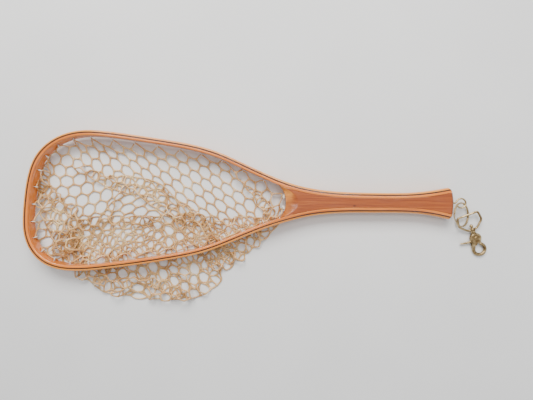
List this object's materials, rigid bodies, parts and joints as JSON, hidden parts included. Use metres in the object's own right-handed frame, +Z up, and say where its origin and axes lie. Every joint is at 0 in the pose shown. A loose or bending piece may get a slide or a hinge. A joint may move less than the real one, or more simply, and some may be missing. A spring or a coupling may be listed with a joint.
{
  "type": "landing net",
  "caption": "Hand-held landing net: laminated wooden hoop and handle, soft hexagonal-mesh rubber bag laced to the hoop, and a swivel trigger snap that hangs from a split ring at the butt.",
  "frame": {"origin": "on the flat underside of the grip, at the grip's narrowest point", "axes": "+X along the handle towards the butt, +Z up out of the hoop's mouth, +Y to the left looking along +X"},
  "size_m": [0.7217, 0.2663, 0.0289],
  "materials": {
    "outer_ply_wood": "clear gloss varnish",
    "middle_ply_wood": "clear gloss varnish over dark walnut",
    "inner_ply_wood": "clear gloss varnish over honey-coloured wood",
    "handle_core_wood": "clear gloss varnish over reddish-brown wood",
    "lacing_cord_white": "braided cord",
    "net_rubber": "glossy moulded rubber",
    "antique_brass": "antique plating, worn bright on the high spots",
    "spring_steel": "plain wire"
  },
  "bodies": {
    "frame": {"outer_ply": "outer_ply_wood", "middle_ply": "middle_ply_wood", "inner_ply": "inner_ply_wood", "handle_core": "handle_core_wood", "lacing_cord": "lacing_cord_white", "net_bag": "net_rubber", "screw_eye": "antique_brass"},
    "ring": {"split_ring": "antique_brass"},
    "bail": {"swivel_bail": "antique_brass"},
    "snap": {"swivel_stud": "antique_brass", "snap_body": "antique_brass", "gate_rivet": "antique_brass", "gate_spring": "spring_steel"},
    "trigger": {"trigger_gate": "antique_brass"}
  },
  "joints": [
    {"name": "ring_swing", "type": "hinge", "parent": "frame", "child": "ring", "pos_m": [0.14381, 0.00146, 0.0116], "axis": [-0.8405, -0.0547, 0.5391], "range_deg": [0, 110]},
    {"name": "bail_swing", "type": "hinge", "parent": "ring", "child": "bail", "pos_m": [0.1571, -0.0175, 0.0062], "axis": [0.9294, 0.3654, 0.0522], "range_deg": [-5, 85]},
    {"name": "snap_swivel", "type": "hinge", "parent": "bail", "child": "snap", "pos_m": [0.17147, -0.05365, 0.00348], "axis": [0.3684, -0.927, -0.0698], "continuous": true},
    {"name": "trigger_pivot", "type": "hinge", "parent": "snap", "child": "trigger", "pos_m": [0.17147, -0.05365, 0.00348], "axis": [-0.0229, -0.0841, 0.9962], "range_deg": [0, 25], "stiffness_Nm_per_rad": 0.02, "deforming": ["gate_spring"]}
  ]
}
